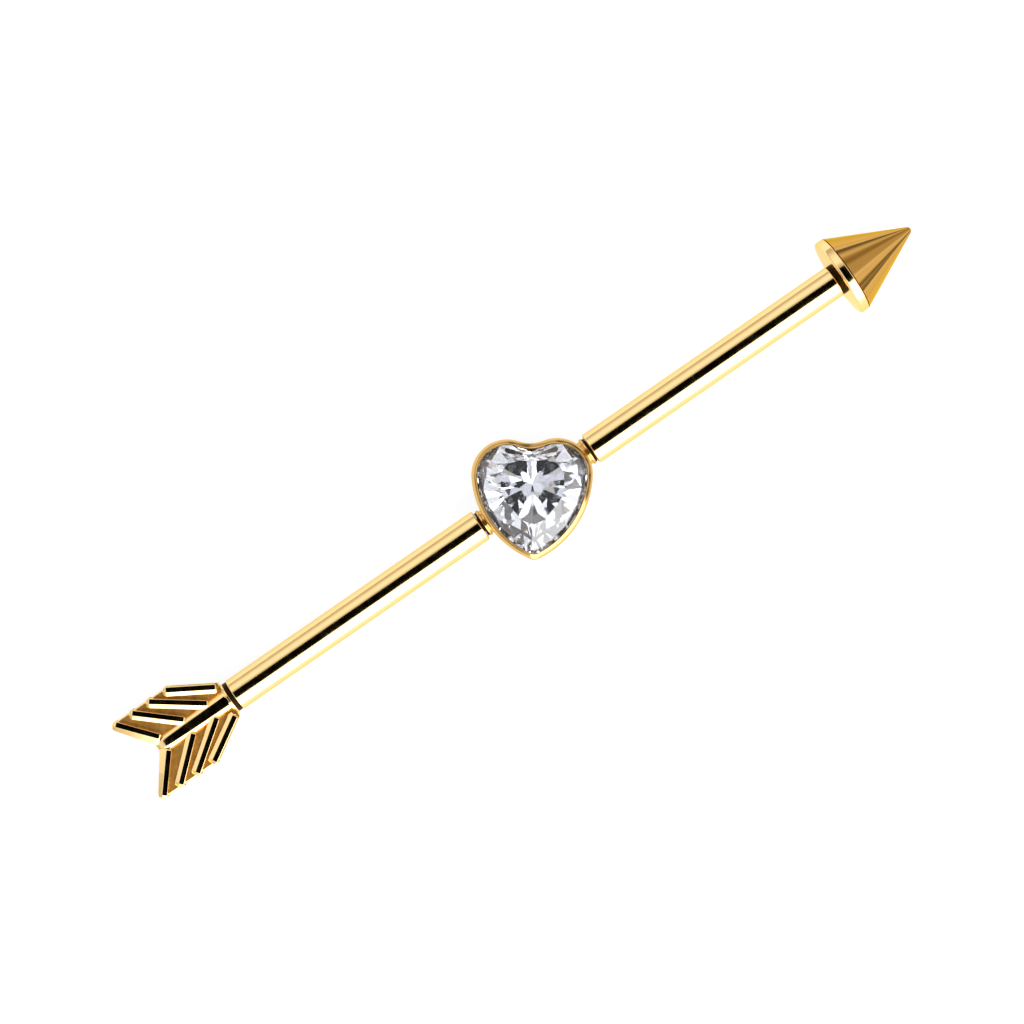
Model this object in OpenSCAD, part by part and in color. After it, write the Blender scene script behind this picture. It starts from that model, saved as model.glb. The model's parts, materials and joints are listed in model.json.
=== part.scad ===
// Industrial barbell for an ear: a straight bar shaped as an arrow, worn through two piercings,
// with a heart stone in a bezel at its middle. Both end pieces screw off. Millimetres.
// The bar lies on a flat surface with the stone up, on the rim of its arrowhead and on the vane
// tips of its fletching. +X runs along the bar to the arrowhead, and the surface is z = 0.

/* [Bar] */
// Diameter of both shafts, which is 14 gauge
shaft_d = 1.6; // [1.4:0.1:1.8]
// Wearable length, between the faces of the two end pieces
wear_length = 35; // [30:1:42]
// Chamfer round each end of a shaft
shaft_chamfer = 0.15; // [0.05:0.01:0.2]

/* [Screws] */
// Diameter of each stud
stud_d = 0.9; // [0.7:0.05:1]
// Length of each stud
stud_length = 2.5; // [1.5:0.1:3.5]
// Room round a stud in its bore
stud_gap = 0.02; // [0.01:0.005:0.04]
// Chamfer on the free end of a stud
stud_chamfer = 0.1; // [0.05:0.01:0.15]
// Depth of a bore beyond the end of its stud
bore_extra = 0.3; // [0.1:0.05:0.6]
// Slit between a shaft and the piece that is screwed against it
seat_gap = 0.03; // [0.01:0.01:0.06]

/* [Stone] */
// Width of the stone across its lobes
stone_w = 5.3; // [4.9:0.1:5.6]
// Height of the stone from its lobes to its point
stone_h = 5.3; // [4.8:0.1:5.8]
// Distance of the centre of each lobe from the middle of the stone
lobe_x = 1.18; // [1.1:0.01:1.3]
// Radius of the two sides
side_r = 4.35; // [3.6:0.05:6]
// Depth of the notch below the tops of the lobes
notch_depth = 0.4; // [0.35:0.01:0.6]
// Distance of the culet below the centres of the lobes
culet_drop = 0.45; // [0.2:0.05:0.9]
// Height of the crown above the girdle
crown_h = 0.7; // [0.5:0.05:0.8]
// Thickness of the girdle
girdle_t = 0.14; // [0.1:0.01:0.2]
// Depth of the pavilion below the girdle
pavilion_h = 2.05; // [1.8:0.05:2.15]

/* [Setting] */
// Direction of the top of the heart, as an angle from the arrowhead
heart_turn = 57; // [45:1:70]
// Height of the middle of the girdle above the bar's axis
girdle_z = 1.1; // [1:0.05:1.3]
// Depth of the back of the cup below the bar's axis
cup_depth = 1.15; // [0.9:0.05:1.25]
// Thickness of the wall round the girdle
wall_t = 0.21; // [0.18:0.01:0.35]
// Room between the stone and the wall, and over and under its girdle
stone_gap = 0.03; // [0.02:0.01:0.05]
// How far the rim reaches in over the girdle
lip_reach = 0.04; // [0.02:0.01:0.06]
// Height of the rim's edge
lip_t = 0.12; // [0.08:0.01:0.2]
// Width of the seat that carries the girdle
seat_w = 0.08; // [0.06:0.01:0.15]
// Radius of the notch in the outside of the cup
outer_notch_r = 1.75; // [1:0.05:2.5]
// Radius of the notch in the inside of the cup
inner_notch_r = 1.2; // [0.6:0.05:1.6]
// Radius of the point of the cup
point_r = 0.5; // [0.2:0.05:0.8]
// Thickness of the back of the cup
back_t = 0.3; // [0.2:0.05:0.4]
// Diameter of the window in the back
window_d = 2; // [1.4:0.1:2.4]
// Diameter of the necks that carry the shafts
neck_d = 1.36; // [1.25:0.01:1.5]
// How much a neck narrows towards its shaft
neck_taper = 0.04; // [0.02:0.01:0.1]
// Length of each neck
neck_length = 0.28; // [0.2:0.01:0.6]
// Diameter of the waist between a neck and the cup
waist_d = 1.2; // [1.1:0.01:1.25]
// Width of that waist
waist_w = 0.09; // [0.05:0.01:0.15]

/* [Arrowhead] */
// Diameter of the base
head_d = 4; // [3.6:0.1:4.6]
// Length from the base to the tip
head_length = 4.25; // [3.5:0.05:6]
// Width of the band round the base
band_w = 0.48; // [0.3:0.02:0.8]
// Chamfer on the edges of the band
band_chamfer = 0.1; // [0.05:0.01:0.15]
// Radius of the tip
tip_r = 0.12; // [0.08:0.01:0.2]

/* [Fletching] */
// Length from the shaft to the vane tips
tail_length = 5.65; // [5:0.05:7]
// Length from the shaft to the notch between the vanes
rib_length = 4.4; // [4.2:0.05:4.7]
// Span over the tips of the vanes
tail_span = 4.44; // [4:0.05:5]
// Distance of the front of the vanes behind the shaft
vane_start = 0.3; // [0.25:0.01:0.5]
// Chamfer on the front of the collar
collar_chamfer = 0.2; // [0.1:0.01:0.22]
// How much the collar narrows towards the vanes
collar_taper = 0.04; // [0.02:0.01:0.1]
// Thickness of the vanes between their ridges
web_t = 0.8; // [0.75:0.01:0.95]
// Diameter of the rib at its front
rib_front_d = 1.32; // [1.2:0.01:1.5]
// Diameter of the rib at its rear
rib_rear_d = 1.05; // [0.95:0.01:1.15]
// Length of the bevel at the rear of the rib
rib_bevel = 0.35; // [0.2:0.01:0.5]
// Number of ridges on each face of a vane
ridge_count = 4; // [3:1:5]
// Width of a ridge
ridge_w = 0.5; // [0.45:0.01:0.54]
// Distance between the outer ends of neighbouring ridges
ridge_pitch = 0.97; // [0.9:0.01:1]
// Angle of the front ridge to the bar
front_ridge_angle = 31; // [28:1:34]
// Angle of the rear ridge to the bar
rear_ridge_angle = 46.6; // [44:0.2:50]
// How far the ends of the ridges stand out of the edge of a vane
ridge_proud = 0.06; // [0.02:0.01:0.1]

/* [Hidden] */
GOLD = [0.86, 0.68, 0.32];
CLEAR = [0.88, 0.9, 0.95];
$fn = 48;
// Overlap of a cutting tool past the face that it opens
over = 0.1;

// Distance from the middle of the bar to the face of each end piece
seat_x = wear_length / 2;

// The girdle outline has its origin midway between the centres of the lobes, with the point down
lobe_r = stone_w / 2 - lobe_x;
lobe_centre = [lobe_x, 0];
girdle_point = [0, lobe_r - stone_h];
reach_to_point = norm(girdle_point - lobe_centre);
to_point = (girdle_point - lobe_centre) / reach_to_point;
// The side's arc touches the lobe and runs through the point
side_along = (pow(side_r - lobe_r, 2) - pow(side_r, 2) + pow(reach_to_point, 2))
    / (2 * reach_to_point);
side_across = sqrt(pow(side_r - lobe_r, 2) - pow(side_along, 2));
side_centre = lobe_centre + side_along * to_point + side_across * [to_point.y, -to_point.x];
// Direction in which the lobe runs on into the side
join_angle = atan2(-side_centre.y, lobe_x - side_centre.x);
lobe_steps = 20;
side_steps = 12;
round_steps = 5;

function arc(centre, radius, start, end, steps) =
    [for (i = [0:steps]) centre + radius * [cos(start + (end - start) * i / steps),
                                            sin(start + (end - start) * i / steps)]];

// Side of the heart from its lobe to its point, grown from the girdle, with its point rounded
function side_arc(grow, round_r) =
    let (round_y = side_centre.y - sqrt(pow(side_r + grow - round_r, 2) - pow(side_centre.x, 2)),
         end_angle = atan2(round_y - side_centre.y, -side_centre.x))
    concat(arc(side_centre, side_r + grow, join_angle, end_angle, side_steps),
           arc([0, round_y], round_r, end_angle, -90, round_steps));

// Right half of the stone. A straight edge runs from its sharp notch on to the lobe.
function stone_half() =
    let (notch = [0, lobe_r - notch_depth],
         to_notch = notch - lobe_centre,
         edge_angle = atan2(to_notch.y, to_notch.x) - acos(lobe_r / norm(to_notch)))
    distinct(concat([notch], arc(lobe_centre, lobe_r, edge_angle, join_angle, lobe_steps),
                    side_arc(0, 0)));

// Right half of the cup, grown from the girdle, with its notch and its point rounded
function cup_half(grow, notch_r, round_r) =
    let (notch_y = sqrt(pow(lobe_r + grow + notch_r, 2) - pow(lobe_x, 2)),
         meet_angle = atan2(notch_y, -lobe_x))
    concat(arc([0, notch_y], notch_r, -90, meet_angle - 180, round_steps),
           arc(lobe_centre, lobe_r + grow, meet_angle, join_angle, lobe_steps),
           side_arc(grow, round_r));

function mirrored(half) = concat(half, [for (i = [len(half) - 1:-1:0]) [-half[i].x, half[i].y]]);
// Points that follow one another at the same place are dropped
same_place = 0.0001;
function distinct(points) =
    [for (i = [0:len(points) - 1])
        if (norm(points[i] - points[(i + 1) % len(points)]) > same_place) points[i]];
function cup_outline(grow, notch_r, round_r = 0) =
    distinct(mirrored(cup_half(grow, notch_r, round_r)));

// The cup is centred on the bar, so that both shafts are equally long
cup_edge = cup_outline(stone_gap + wall_t, outer_notch_r, point_r);
turn = heart_turn - 90;
edge_x = [for (p = cup_edge) p.x * cos(turn) - p.y * sin(turn)];
edge_y = [for (p = cup_edge) p.x * sin(turn) + p.y * cos(turn)];
heart_x = -(max(edge_x) + min(edge_x)) / 2;
heart_y = -(max(edge_y) + min(edge_y)) / 2;
cup_reach = (max(edge_x) - min(edge_x)) / 2;
neck_end = cup_reach + neck_length;
shaft_start = neck_end + seat_gap;
shaft_length = seat_x - seat_gap - shaft_start;

// Heights of the stone and the cup above the bar's axis. The stone slopes away over and under its
// girdle, so the rim and the seat stand off from it by as much as they reach in.
girdle_top = girdle_z + girdle_t / 2;
girdle_bottom = girdle_z - girdle_t / 2;
rim_under = girdle_top + lip_reach + 2 * stone_gap;
rim_top = rim_under + lip_t;
seat_z = girdle_bottom - seat_w - 2 * stone_gap;

// Places along the fletching, measured back from its seat on the shaft
ridge_r = ridge_w / 2;
ridge_end_y = tail_span / 2 - ridge_r;
last_ridge = tail_length - ridge_r;
first_ridge = last_ridge - (ridge_count - 1) * ridge_pitch;
vane_y = tail_span / 2 - ridge_proud;
rib_end_d = rib_rear_d - rib_bevel;

// The bar tips until the rim of the arrowhead and the vane tips both touch the surface
rim_x = seat_x + band_chamfer;
vane_tip_x = -seat_x - last_ridge;
drop = head_d / 2 - web_t / 2;
tilt = atan2(drop, rim_x - vane_tip_x) - asin(ridge_r / norm([drop, rim_x - vane_tip_x]));
lift = head_d / 2 * cos(tilt) - rim_x * sin(tilt);
front_end = (seat_x + head_length - tip_r) * cos(tilt) + tip_r;
rear_end = vane_tip_x * cos(tilt) - web_t / 2 * sin(tilt) - ridge_r;

module lay_down() {
    translate([-(front_end + rear_end) / 2, 0, lift]) rotate([0, -tilt, 0]) children();
}

module in_heart() {
    translate([heart_x, heart_y, 0]) rotate([0, 0, turn]) children();
}

// Turns a shape built up along Z to run along +X from the given place
module along_bar(x) {
    translate([x, 0, 0]) rotate([0, 90, 0]) children();
}

// Stud that stands on the plane z = 0 and is rooted in the metal below it
module stud() {
    rotate_extrude() polygon([
        [0, -over], [stud_d / 2, -over], [stud_d / 2, stud_length - stud_chamfer],
        [stud_d / 2 - stud_chamfer, stud_length], [0, stud_length]]);
}

// Shaft with a bore for a stud in each end
module shaft() {
    bore_depth = stud_length + bore_extra;
    difference() {
        rotate_extrude() polygon([
            [0, 0], [shaft_d / 2 - shaft_chamfer, 0], [shaft_d / 2, shaft_chamfer],
            [shaft_d / 2, shaft_length - shaft_chamfer],
            [shaft_d / 2 - shaft_chamfer, shaft_length], [0, shaft_length]]);
        for (bottom = [-over, shaft_length - bore_depth])
            translate([0, 0, bottom]) cylinder(h = bore_depth + over, d = stud_d + 2 * stud_gap);
    }
}

module front_shaft() {
    color(GOLD) lay_down() along_bar(shaft_start) shaft();
}

module rear_shaft() {
    color(GOLD) lay_down() along_bar(-shaft_start - shaft_length) shaft();
}

module neck() {
    translate([0, 0, cup_reach - wall_t]) cylinder(h = neck_end - cup_reach + wall_t, d = waist_d);
    translate([0, 0, cup_reach + waist_w])
        cylinder(h = neck_length - waist_w, d1 = neck_d, d2 = neck_d - neck_taper);
    translate([0, 0, neck_end]) stud();
}

module heart_setting() {
    color(GOLD) lay_down() {
        difference() {
            union() {
                in_heart() translate([0, 0, -cup_depth])
                    linear_extrude(rim_top + cup_depth) polygon(cup_edge);
                along_bar(0) neck();
                mirror([1, 0, 0]) along_bar(0) neck();
            }
            in_heart() {
                translate([0, 0, seat_z]) linear_extrude(rim_under - seat_z)
                    polygon(cup_outline(stone_gap, inner_notch_r));
                translate([0, 0, girdle_z]) linear_extrude(rim_top + over - girdle_z)
                    polygon(cup_outline(-lip_reach, inner_notch_r));
                translate([0, 0, back_t - cup_depth]) linear_extrude(girdle_z - back_t + cup_depth)
                    polygon(cup_outline(stone_gap - seat_w, inner_notch_r));
                translate([0, -culet_drop, -cup_depth - over])
                    cylinder(h = back_t + 2 * over, d = window_d);
            }
        }
    }
}

// Facets are planes round the culet's axis. Each family aims at one point on that axis, above or
// below the girdle, and meets the plane of the girdle at a share of the distance to its edge.
main_angles = [104, 63, 22, -19, -60];
// The halves lie on both sides of each main facet and are a little steeper, and the flatter stars
// between the mains cut a part off the table's corners
half_spread = 10.25;
table_share = 0.6;
table_left = 0.94;
girdle_bite = 0.985;
main_apex = crown_h / (1 - table_share);
crown_half_apex = 1.2 * main_apex;
pavilion_half_apex = 1.08 * pavilion_h;
star_apex = 1.85 * crown_h;
star_share = table_left * table_share / (1 - crown_h / star_apex);

function main_facets(level, apex) = [for (angle = main_angles) [angle, level, apex, girdle_bite]];
function half_facets(level, apex) =
    [for (angle = main_angles, side = [-1, 1])
        [angle + side * half_spread, level, apex, girdle_bite]];
function star_facets() =
    [for (i = [1:len(main_angles) - 1])
        [(main_angles[i - 1] + main_angles[i]) / 2, girdle_top, star_apex, star_share]];

// Distance from the culet's axis to the edge of the girdle, in the direction of an angle
function edge_distance(angle) =
    let (ray = [cos(angle), sin(angle)],
         from_lobe = lobe_centre * ray + lobe_r,
         from_side = side_centre * ray + side_r)
    (angle > join_angle ? from_lobe : from_side) + culet_drop * ray.y;

// Everything beyond the plane of one facet
module beyond_facet(angle, level, apex, share) {
    lean = atan2(abs(apex), sign(apex) * share * edge_distance(angle));
    tool = 3 * stone_w;
    translate([0, -culet_drop, level + apex]) rotate([0, lean, angle])
        translate([-tool / 2, -tool / 2, 0]) cube(tool);
}

// Grinds the facets of a list one after another, as the cutter does
module ground(facets, i = 0) {
    if (i == len(facets)) children();
    else difference() {
        ground(facets, i + 1) children();
        beyond_facet(facets[i][0], facets[i][1], facets[i][2], facets[i][3]);
    }
}

module stone_side() {
    ground(concat(main_facets(girdle_top, main_apex), half_facets(girdle_top, crown_half_apex),
                  star_facets(), main_facets(girdle_bottom, -pavilion_h),
                  half_facets(girdle_bottom, -pavilion_half_apex)))
        translate([0, 0, girdle_bottom - pavilion_h])
            linear_extrude(pavilion_h + girdle_t + crown_h) polygon(stone_half());
}

module heart_stone() {
    color(CLEAR) lay_down() in_heart() {
        stone_side();
        mirror([1, 0, 0]) stone_side();
    }
}

module arrowhead() {
    cone_angle = atan2(head_d / 2 - tip_r, head_length - band_w - tip_r);
    tip_centre = [0, head_length - tip_r];
    color(GOLD) lay_down() along_bar(seat_x) {
        rotate_extrude() polygon(concat(
            [[0, 0], [head_d / 2 - band_chamfer, 0], [head_d / 2, band_chamfer],
             [head_d / 2, band_w - band_chamfer], [head_d / 2 - band_chamfer, band_w]],
            arc(tip_centre, tip_r, cone_angle, 90, round_steps)));
        mirror([0, 0, 1]) stud();
    }
}

// Rod with round ends along Z, its end centres at z = 0 and z = length
module ridge(length) {
    rotate_extrude() intersection() {
        union() {
            circle(ridge_r);
            translate([-ridge_r, 0]) square([ridge_w, length]);
            translate([0, length]) circle(ridge_r);
        }
        translate([0, -ridge_r]) square([ridge_r, length + ridge_w]);
    }
}

// Ridges of one vane, on both faces. Each runs in from its outer end until it meets the rib or
// the front of the vane.
module vane_ridges() {
    inner_y = rib_rear_d / 2 - ridge_r / 2;
    for (i = [0:ridge_count - 1]) {
        angle = front_ridge_angle + (rear_ridge_angle - front_ridge_angle) * i / (ridge_count - 1);
        end_x = first_ridge + i * ridge_pitch;
        length = min((ridge_end_y - inner_y) / sin(angle),
                     (end_x - vane_start - ridge_r) / cos(angle));
        for (face = [-1, 1])
            translate([end_x, ridge_end_y, face * web_t / 2])
                rotate([0, -90, angle]) ridge(length);
    }
}

// Both vanes in one. The front edge runs along the front ridge, the rear edge under the rear one.
module vane_outline() {
    ridge_front_x = first_ridge - ridge_r / sin(front_ridge_angle);
    front_x = ridge_front_x + (vane_y - ridge_end_y) / tan(front_ridge_angle);
    front_y = vane_y - (front_x - vane_start) * tan(front_ridge_angle);
    rear_x = last_ridge + ridge_r / 2;
    notch_y = rib_rear_d / 4;
    half = [[vane_start, front_y], [front_x, vane_y], [rear_x, vane_y], [rib_length, notch_y]];
    polygon(concat(half, [for (i = [len(half) - 1:-1:0]) [half[i].x, -half[i].y]]));
}

module fletching() {
    color(GOLD) lay_down() mirror([1, 0, 0]) translate([seat_x, 0, 0]) {
        translate([0, 0, -web_t / 2]) linear_extrude(web_t) vane_outline();
        vane_ridges();
        mirror([0, 1, 0]) vane_ridges();
        along_bar(0) {
            rotate_extrude() polygon([
                [0, 0], [shaft_d / 2 - collar_chamfer, 0], [shaft_d / 2, collar_chamfer],
                [(shaft_d - collar_taper) / 2, vane_start + over], [0, vane_start + over]]);
            translate([0, 0, vane_start])
                cylinder(h = rib_length - rib_bevel - vane_start, d1 = rib_front_d, d2 = rib_rear_d);
            translate([0, 0, rib_length - rib_bevel])
                cylinder(h = rib_bevel, d1 = rib_rear_d, d2 = rib_end_d);
            mirror([0, 0, 1]) stud();
        }
    }
}

front_shaft();
rear_shaft();
heart_setting();
heart_stone();
arrowhead();
fletching();
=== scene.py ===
# Looks of the industrial barbell: a gold arrow with a clear heart stone, lying on a pale table.
# Each piece is modelled in millimetres on a level bar, whose middle is the origin and whose
# arrowhead points along +X, and is then laid down in metres where the frame has it.
import json
import math

import bpy
from mathutils import Matrix, Vector


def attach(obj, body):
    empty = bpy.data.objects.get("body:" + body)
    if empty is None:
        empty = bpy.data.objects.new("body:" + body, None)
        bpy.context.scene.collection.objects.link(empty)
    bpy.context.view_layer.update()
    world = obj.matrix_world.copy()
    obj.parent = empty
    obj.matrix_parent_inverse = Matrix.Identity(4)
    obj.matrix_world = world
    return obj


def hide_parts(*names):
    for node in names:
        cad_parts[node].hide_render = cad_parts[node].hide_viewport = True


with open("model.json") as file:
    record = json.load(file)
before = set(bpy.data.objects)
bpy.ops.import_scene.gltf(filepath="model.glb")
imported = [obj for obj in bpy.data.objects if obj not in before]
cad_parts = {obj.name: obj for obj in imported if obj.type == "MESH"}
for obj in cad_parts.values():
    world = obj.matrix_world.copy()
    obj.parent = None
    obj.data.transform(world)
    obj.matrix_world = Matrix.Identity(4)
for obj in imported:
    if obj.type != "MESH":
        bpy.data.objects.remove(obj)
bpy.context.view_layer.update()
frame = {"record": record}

# Front and rear shaft
# Two round rods of surgical steel, turned to 14 gauge, with a rounded edge and a tapped bore at
# each end. They are polished to a mirror and coated with gold PVD, and the necks of the heart's
# setting screw into them.
wear_length = 35
shaft_r = 0.8
end_round = 0.06
seat_gap = 0.03
seat_x = wear_length / 2
ring_w = 0.14
shaft_start = 3.1946
shaft_ends = {1: seat_x - ring_w - seat_gap, -1: seat_x - seat_gap}
bore_r = 0.47
bore_depth = 2.8


def select_only(*pieces):
    """Selects these pieces alone. The last one is the one that is worked on."""
    bpy.ops.object.select_all(action="DESELECT")
    for piece in pieces:
        piece.select_set(True)
    bpy.context.view_layer.objects.active = pieces[-1]


def edit(piece):
    """Opens a piece in edit mode, to select points, with nothing of it selected."""
    select_only(piece)
    bpy.ops.object.mode_set(mode="EDIT")
    bpy.ops.mesh.select_mode(type="VERT")
    bpy.ops.mesh.select_all(action="DESELECT")


def pick(piece, is_wanted):
    """Selects, in edit mode, the points whose place passes a test."""
    bpy.ops.mesh.select_all(action="DESELECT")
    bpy.ops.object.mode_set(mode="OBJECT")
    for point in piece.data.vertices:
        point.select = is_wanted(point.co)
    bpy.ops.object.mode_set(mode="EDIT")


def close_up(piece, merge=0.0005):
    """Merges the doubles of a finished mesh and turns its faces outwards."""
    edit(piece)
    bpy.ops.mesh.select_all(action="SELECT")
    bpy.ops.mesh.remove_doubles(threshold=merge)
    bpy.ops.mesh.normals_make_consistent(inside=False)
    bpy.ops.object.mode_set(mode="OBJECT")


def turned(name, steps, sides=128):
    """Turns a solid as on a lathe: a disc is pulled along X and opened or closed at each step."""
    x, radius = steps[0]
    bpy.ops.mesh.primitive_circle_add(vertices=sides, radius=radius, fill_type="NGON",
                                      location=(x, 0, 0), rotation=(0, math.pi / 2, 0))
    piece = bpy.context.object
    piece.name = name
    select_only(piece)
    bpy.ops.object.transform_apply(location=True, rotation=True, scale=True)
    bpy.ops.object.mode_set(mode="EDIT")
    for next_x, next_radius in steps[1:]:
        bpy.ops.mesh.extrude_region_move(TRANSFORM_OT_translate={"value": (next_x - x, 0, 0)})
        bpy.ops.transform.resize(value=(1, next_radius / radius, next_radius / radius),
                                 center_override=(next_x, 0, 0))
        x, radius = next_x, next_radius
    bpy.ops.object.mode_set(mode="OBJECT")
    close_up(piece)
    return piece


def round_rings(piece, places, radius, width, segments=5):
    """Rounds the sharp rings of a turned piece at these places along X, one at a time."""
    for x in places:
        edit(piece)
        pick(piece, lambda co: abs(co.x - x) < 0.001
             and abs(math.hypot(co.y, co.z) - radius) < 0.001)
        bpy.ops.mesh.bevel(offset=width, segments=segments, affect="EDGES")
        bpy.ops.object.mode_set(mode="OBJECT")


mounts = frame["record"]["mounts"]
bar_middle = (Vector(mounts[0]["pos_m"]) + Vector(mounts[1]["pos_m"])) / 2
tilt = math.asin(mounts[0]["axis"][2])


def lay_down(piece, body, stands_for, sharp=35):
    """Smooths a piece, sets it in metres on the bar as it lies and hands it to the frame."""
    select_only(piece)
    bpy.ops.object.shade_smooth_by_angle(angle=math.radians(sharp))
    bpy.ops.object.modifier_add(type="WEIGHTED_NORMAL")
    piece.modifiers[-1].keep_sharp = True
    bpy.ops.object.modifier_apply(modifier=piece.modifiers[-1].name)
    piece.scale = (0.001, 0.001, 0.001)
    piece.rotation_euler = (0, -tilt, 0)
    piece.location = bar_middle
    bpy.ops.object.transform_apply(location=True, rotation=True, scale=True)
    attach(piece, body)
    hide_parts(stands_for)


def linear(hex_colour):
    """Turns an sRGB hex colour to the linear one that a shader takes."""
    shares = [int(hex_colour[i:i + 2], 16) / 255 for i in (1, 3, 5)]
    return [s / 12.92 if s <= 0.04045 else ((s + 0.055) / 1.055) ** 2.4 for s in shares] + [1]


def node(tree, kind, inputs=(), **settings):
    """Adds a node, sets its settings, and sets or links each input."""
    added = tree.nodes.new(kind)
    for name, value in settings.items():
        setattr(added, name, value)
    for socket, value in dict(inputs).items():
        if isinstance(value, bpy.types.NodeSocket):
            tree.links.new(value, added.inputs[socket])
        else:
            added.inputs[socket].default_value = value
    return added


def grains(size):
    """Noise scale that gives grains of this many millimetres, on a place in metres."""
    return 1000 / size


def new_material(name):
    """Makes a material with its shader and the place that its patterns are laid out in."""
    made = bpy.data.materials.new(name)
    made.use_nodes = True
    tree = made.node_tree
    place = node(tree, "ShaderNodeTexCoord").outputs["Object"]
    return made, tree, tree.nodes["Principled BSDF"], place


def gold_pvd(name, colour, dark_colour, roughness):
    """Gold PVD on polished steel. The wheel leaves slow waves 2.2 mm long and 1.5 micrometres
    high, so the edges of its reflections are never quite straight, and a haze of hairlines,
    which are drawn 0.4 mm wide, or they would be too fine to show."""
    made, tree, shader, place = new_material(name)
    waves = node(tree, "ShaderNodeTexNoise", {"Vector": place, "Scale": grains(2.2), "Detail": 1})
    haze = node(tree, "ShaderNodeTexNoise", {"Vector": place, "Scale": grains(0.4), "Detail": 4})
    tone = node(tree, "ShaderNodeMix", {"Factor": haze.outputs["Fac"], "A": linear(dark_colour),
                                        "B": linear(colour)}, data_type="RGBA")
    gloss = node(tree, "ShaderNodeMapRange",
                 {"Value": haze.outputs["Fac"], "From Min": 0.3, "From Max": 0.7,
                  "To Min": roughness - 0.03, "To Max": roughness + 0.04})
    relief = node(tree, "ShaderNodeBump", {"Height": waves.outputs["Fac"], "Strength": 1,
                                           "Distance": 0.0000015})
    tree.links.new(tone.outputs["Result"], shader.inputs["Base Color"])
    tree.links.new(gloss.outputs["Result"], shader.inputs["Roughness"])
    tree.links.new(relief.outputs["Normal"], shader.inputs["Normal"])
    shader.inputs["Metallic"].default_value = 1
    shader.inputs["Specular Tint"].default_value = linear("#FFF1B4")
    return made


# On the shafts the gold is a clear pale mirror
polished_gold = gold_pvd("gold_pvd_mirror_polished", "#F5D79C", "#F0CD8F", 0.1)

# Bare steel in the bores and on the end faces, where the coating doesn't reach, with turning marks
# 0.11 mm apart. Its colour is painted nearly black all over, as painted shade for the narrow gaps.
uncoated_steel_painted_gap_shade, tree, shader, place = new_material("steel_uncoated_painted_gap_shade")
marks = node(tree, "ShaderNodeTexNoise", {"Vector": place, "Scale": grains(0.11), "Detail": 3})
tone = node(tree, "ShaderNodeMix", {"Factor": marks.outputs["Fac"], "A": linear("#140C05"),
                                    "B": linear("#38240F")}, data_type="RGBA")
relief = node(tree, "ShaderNodeBump", {"Height": marks.outputs["Fac"], "Strength": 1,
                                       "Distance": 0.000004})
tree.links.new(tone.outputs["Result"], shader.inputs["Base Color"])
tree.links.new(relief.outputs["Normal"], shader.inputs["Normal"])
shader.inputs["Metallic"].default_value = 1
shader.inputs["Roughness"].default_value = 0.5

for name, way in (("front_shaft_rod", 1), ("rear_shaft_rod", -1)):
    shaft_end = shaft_ends[way]
    steps = [(way * (shaft_start + bore_depth), bore_r), (way * shaft_start, bore_r),
             (way * shaft_start, shaft_r), (way * shaft_end, shaft_r), (way * shaft_end, bore_r),
             (way * (shaft_end - bore_depth), bore_r)]
    shaft = turned(name, steps)
    round_rings(shaft, [way * shaft_start, way * shaft_end], shaft_r, end_round)
    shaft.data.materials.append(polished_gold)
    shaft.data.materials.append(uncoated_steel_painted_gap_shade)
    # The bores and end faces take the near-black steel, as painted shade in the gaps at the shaft's
    # ends
    for face in shaft.data.polygons:
        if math.hypot(face.center.y, face.center.z) < shaft_r - end_round - 0.01:
            face.material_index = 1
    lay_down(shaft, "bar", name.replace("_rod", ""))

# Heart setting
# A bezel cup of cast steel, burnished in over the stone, with an open window in its back and a
# neck with a screw on each side. It is tumbled bright and coated like the shafts, except for its
# pocket and its screws, which stay hidden in the shafts.
stone_w = 5.3
stone_h = 5.3
lobe_x = 1.18
side_r = 4.35
culet_drop = 0.45
heart_turn = 57
girdle_z = 1.1
girdle_t = 0.14
stone_gap = 0.03
wall_t = 0.21
seat_w = 0.08
seat_z = 0.89
cup_back = -1.15
back_t = 0.3
window_r = 1
outer_notch_r = 1.75
inner_notch_r = 1.2
outer_point_r = 0.5
inner_point_r = 0.05
lobe_r = stone_w / 2 - lobe_x
lobe_centre = Vector((lobe_x, 0))
girdle_point = Vector((0, lobe_r - stone_h))

# The side's arc touches the lobe and runs through the point
to_point = girdle_point - lobe_centre
reach = to_point.length
to_point.normalize()
side_along = ((side_r - lobe_r) ** 2 - side_r ** 2 + reach ** 2) / (2 * reach)
side_across = math.sqrt((side_r - lobe_r) ** 2 - side_along ** 2)
side_centre = lobe_centre + side_along * to_point + side_across * Vector((to_point.y, -to_point.x))
join_angle = math.atan2(-side_centre.y, lobe_x - side_centre.x)


def start_chain(piece, place):
    """Adds one loose point to a piece in edit mode, and leaves it selected."""
    bpy.ops.mesh.select_all(action="DESELECT")
    bpy.ops.mesh.primitive_circle_add(vertices=3, radius=0.001, location=place)
    bpy.ops.mesh.merge(type="CENTER")


def spin_on(centre, z, start, end, steps):
    """Carries a chain on round an arc, from its selected end."""
    bpy.ops.mesh.spin(steps=steps, angle=start - end, center=(centre[0], centre[1], z),
                      axis=(0, 0, 1), use_auto_merge=False)


def half_heart(piece, grow, notch_r, point_r, z):
    """Lays out the right half of the cup's outline at one level, grown from the girdle."""
    notch_y = math.sqrt((lobe_r + grow + notch_r) ** 2 - lobe_x ** 2)
    meet_angle = math.atan2(notch_y, -lobe_x)
    point_y = side_centre.y - math.sqrt((side_r + grow - point_r) ** 2 - side_centre.x ** 2)
    point_angle = math.atan2(point_y - side_centre.y, -side_centre.x)
    start_chain(piece, (0, notch_y - notch_r, z))
    spin_on((0, notch_y), z, -math.pi / 2, meet_angle - math.pi, 8)
    spin_on(lobe_centre, z, meet_angle, join_angle, 32)
    spin_on(side_centre, z, join_angle, point_angle, 24)
    spin_on((0, point_y), z, point_angle, -math.pi / 2, 8)


chain_steps = 8 + 32 + 24 + 8


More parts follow.
